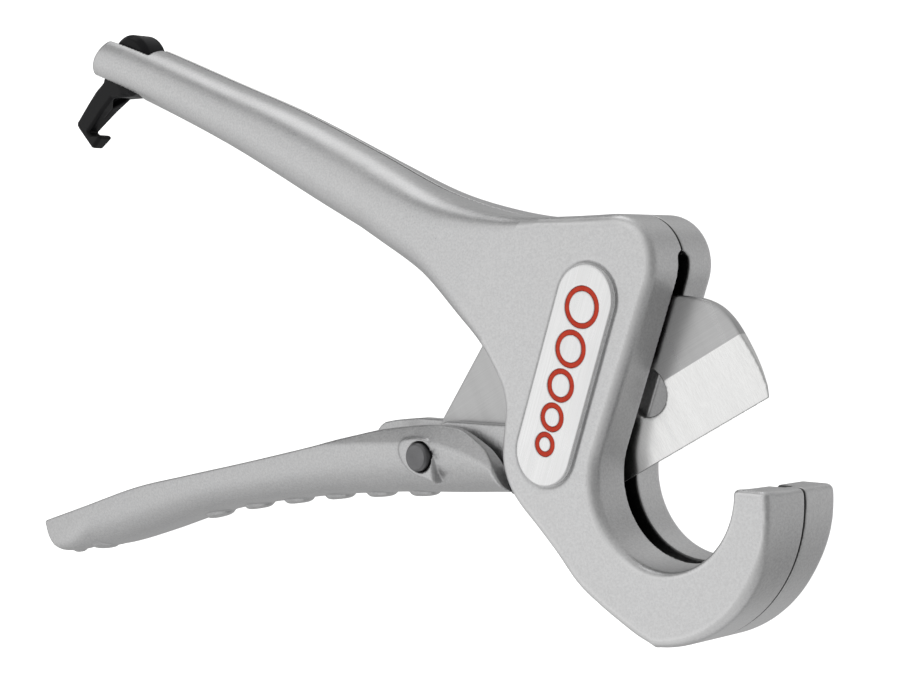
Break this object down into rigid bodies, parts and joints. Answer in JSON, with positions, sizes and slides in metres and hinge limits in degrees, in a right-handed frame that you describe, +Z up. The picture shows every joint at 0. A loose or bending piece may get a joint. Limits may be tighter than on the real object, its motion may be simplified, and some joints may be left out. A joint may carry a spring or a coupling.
{
  "type": "plastic pipe cutter",
  "caption": "Hand shear for plastic pipe: a hooked two-part cast body, a pivoting U-shaped lower handle with a bevelled blade, and a latch that holds the handles closed.",
  "frame": {"origin": "bottom centre of the bounding box, with the tool lying on its far side and the handles open", "axes": "+X from the handles towards the hook, +Y from the lower handle to the upper handle, +Z up through the badge side"},
  "size_m": [0.2558, 0.1524, 0.0262],
  "materials": {
    "cast_aluminium": "die-cast, bead-blasted satin",
    "badge_aluminium": "brushed, with engraved rings filled with red enamel",
    "blade_steel": "ground, with a bright bevel",
    "dark_steel": "black oxide",
    "zinc_steel": "zinc plated",
    "spring_steel": "oil-tempered wire",
    "bronze": "sintered bronze",
    "black_plastic": "moulded nylon, satin"
  },
  "bodies": {
    "body": {"body_half_near": "cast_aluminium", "body_half_far": "cast_aluminium", "badge_plate": "badge_aluminium", "pivot_bolt": "zinc_steel", "body_screw_1": "dark_steel", "body_screw_2": "dark_steel", "body_screw_3": "dark_steel", "body_screw_4": "dark_steel", "dowel_pin_1": "zinc_steel", "dowel_pin_2": "zinc_steel", "thrust_washer_near": "bronze", "thrust_washer_far": "bronze", "latch_pin": "zinc_steel"},
    "handle": {"lower_handle": "cast_aluminium", "blade": "blade_steel", "pivot_bush": "bronze", "blade_rivet": "zinc_steel", "return_spring": "spring_steel", "button_spring": "spring_steel"},
    "button": {"blade_button": "dark_steel", "button_clip": "spring_steel"},
    "latch": {"latch": "black_plastic", "latch_washer_near": "spring_steel", "latch_washer_far": "spring_steel"}
  },
  "joints": [
    {"name": "handle_hinge", "type": "hinge", "parent": "body", "child": "handle", "pos_m": [0.0617, -0.03441, 0.01225], "axis": [0, 0, -1], "range_deg": [0, 42.5], "stiffness_Nm_per_rad": 0.6, "springref_deg": -8.59},
    {"name": "button_slide", "type": "slide", "parent": "handle", "child": "button", "axis": [0, 0, -1], "range_m": [0, 0.002], "stiffness_N_per_m": 700, "springref_m": -0.002, "deforming": ["button_spring"]},
    {"name": "latch_hinge", "type": "hinge", "parent": "body", "child": "latch", "pos_m": [-0.0972, 0.06639, 0.01225], "axis": [0, 0, 1], "range_deg": [-12, 18.5]}
  ]
}
